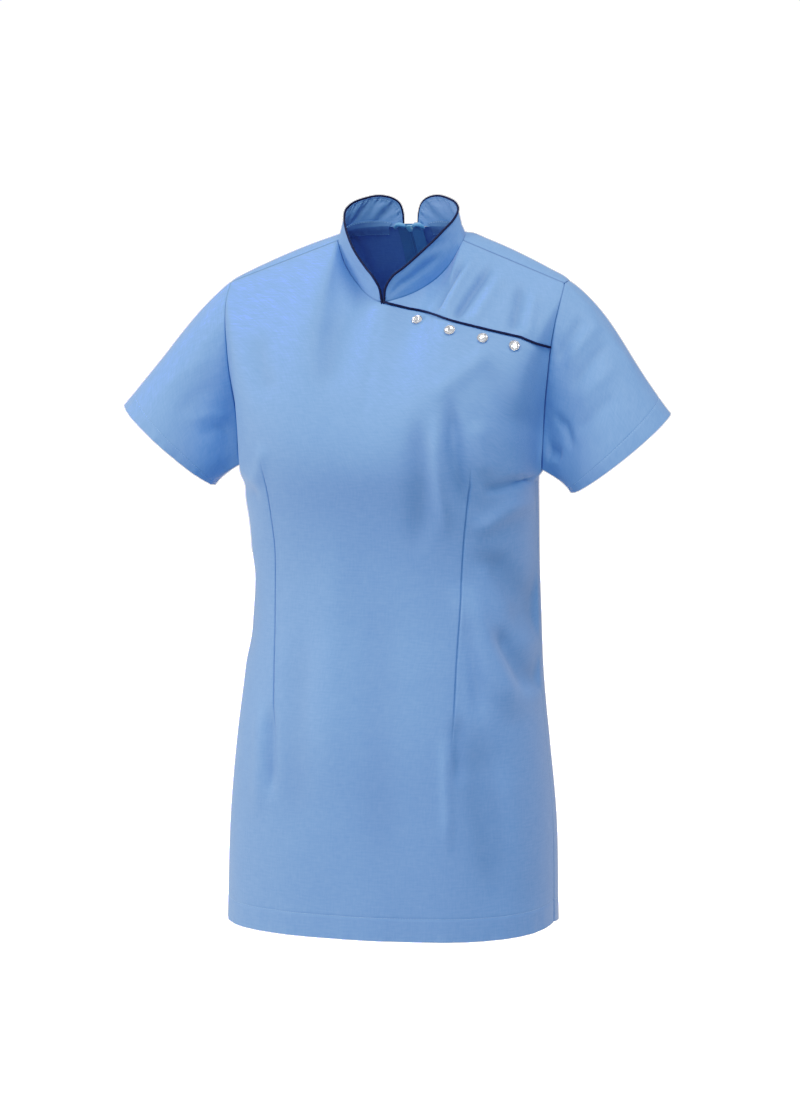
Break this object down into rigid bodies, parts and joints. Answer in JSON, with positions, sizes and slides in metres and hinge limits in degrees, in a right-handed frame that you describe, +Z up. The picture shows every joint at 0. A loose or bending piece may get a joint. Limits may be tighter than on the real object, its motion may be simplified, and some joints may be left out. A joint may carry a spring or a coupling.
{
  "type": "medical tunic",
  "caption": "Hollow short-sleeved tunic with a split stand collar, a slanted piped yoke seam, domed buttons below it, side vents and a zip at the back.",
  "frame": {"origin": "midway between the two side neck points, where the shoulders carry the tunic", "axes": "+Z up, +Y towards the back of the tunic, +X towards the wearer's left"},
  "size_m": [0.6005, 0.258, 0.7655],
  "materials": {
    "cloth": "matt plain-weave cloth",
    "piping": "matt bias-cut cord cover",
    "zip_tape": "matt knitted tape",
    "zip_metal": "satin paint",
    "button": "clear and faceted"
  },
  "bodies": {
    "tunic": {"front": "cloth", "front_yoke": "cloth", "back_left": "cloth", "back_right": "cloth", "sleeve_left": "cloth", "sleeve_right": "cloth", "collar_left": "cloth", "collar_right": "cloth", "neck_tape_left": "cloth", "neck_tape_right": "cloth", "collar_piping_left": "piping", "collar_piping_right": "piping", "yoke_piping": "piping", "zip_tape_left": "zip_tape", "zip_tape_right": "zip_tape", "zip_chain": "zip_tape", "zip_slider": "zip_metal", "button_1": "button", "button_2": "button", "button_3": "button", "button_4": "button"},
    "pull": {"zip_pull": "zip_metal"}
  },
  "joints": [
    {"name": "pull_hinge", "type": "hinge", "parent": "tunic", "child": "pull", "pos_m": [0, 0.03678, 0.01498], "axis": [1, 0, 0], "range_deg": [0, 140]}
  ]
}
